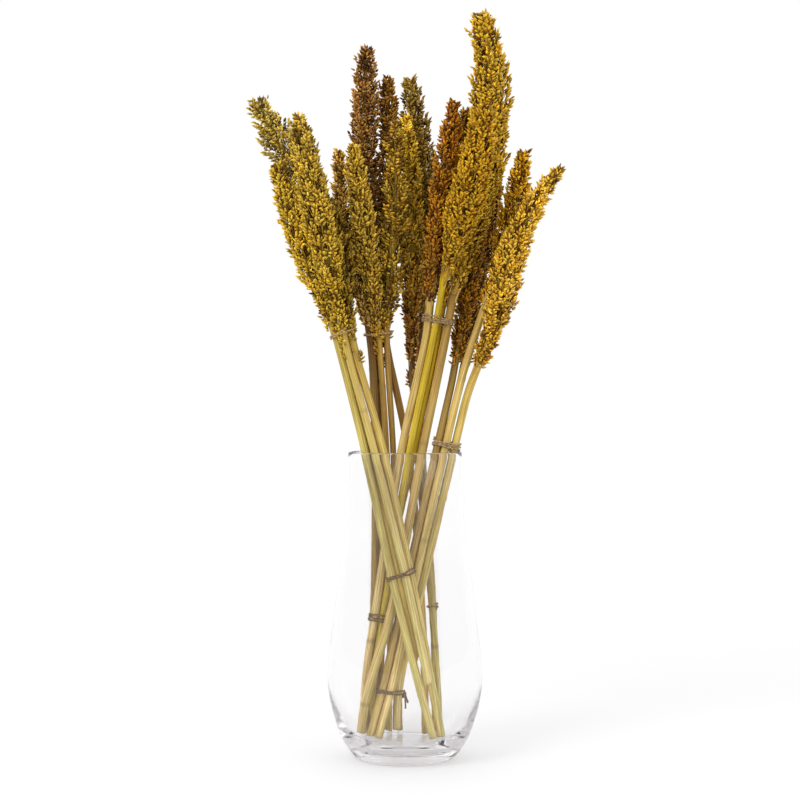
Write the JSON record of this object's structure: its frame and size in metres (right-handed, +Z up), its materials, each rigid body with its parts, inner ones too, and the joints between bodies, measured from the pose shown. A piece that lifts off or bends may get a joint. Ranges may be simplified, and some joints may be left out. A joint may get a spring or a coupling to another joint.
{
  "type": "dried sorghum in glass vase",
  "caption": "Clear glass vase holding dried sorghum stalks with seed heads, cut and tied in bundles with twine, leaning out over the rim.",
  "frame": {"origin": "middle of the underside of the vase's foot", "axes": "+Z up through the vase's axis to the heads; -Y is the front of the arrangement; +X to its right"},
  "size_m": [0.2909, 0.147, 0.7065],
  "materials": {
    "clear_glass": "clear, smooth and glossy",
    "pale_straw": "dry satin straw, streaked lengthwise",
    "yellow_straw": "bright yellow satin straw",
    "brown_straw": "tan to brown dry straw",
    "golden_seeds": "dry husky seeds, golden, matt",
    "olive_seeds": "dry husky seeds, olive gold, matt",
    "brown_seeds": "dry husky seeds, dark brown, matt",
    "twine": "rough brown twisted twine"
  },
  "bodies": {
    "root": {"vase": "clear_glass", "left_stem_1": "pale_straw", "left_head_1": "golden_seeds", "left_stem_2": "pale_straw", "left_head_2": "olive_seeds", "left_stem_3": "pale_straw", "left_head_3": "olive_seeds", "left_stem_4": "pale_straw", "left_head_4": "brown_seeds", "centre_stem_1": "brown_straw", "centre_head_1": "brown_seeds", "centre_stem_2": "brown_straw", "centre_head_2": "brown_seeds", "centre_stem_3": "pale_straw", "centre_head_3": "olive_seeds", "centre_stem_4": "pale_straw", "centre_head_4": "olive_seeds", "centre_stem_5": "brown_straw", "centre_head_5": "brown_seeds", "rear_stem_1": "pale_straw", "rear_head_1": "golden_seeds", "rear_stem_2": "pale_straw", "rear_head_2": "olive_seeds", "tall_stem_1": "pale_straw", "tall_head_1": "golden_seeds", "tall_stem_2": "yellow_straw", "tall_head_2": "golden_seeds", "tall_stem_3": "yellow_straw", "tall_head_3": "golden_seeds", "tall_stem_4": "brown_straw", "tall_head_4": "golden_seeds", "right_stem_1": "pale_straw", "right_head_1": "golden_seeds", "right_stem_2": "pale_straw", "right_head_2": "golden_seeds", "right_stem_3": "pale_straw", "right_head_3": "golden_seeds", "right_stem_4": "pale_straw", "right_head_4": "brown_seeds", "left_lower_tie": "twine", "left_upper_tie": "twine", "centre_upper_tie": "twine", "rear_lower_tie": "twine", "tall_lower_tie": "twine", "tall_upper_tie": "twine", "right_lower_tie": "twine", "right_upper_tie": "twine"}
  },
  "joints": []
}
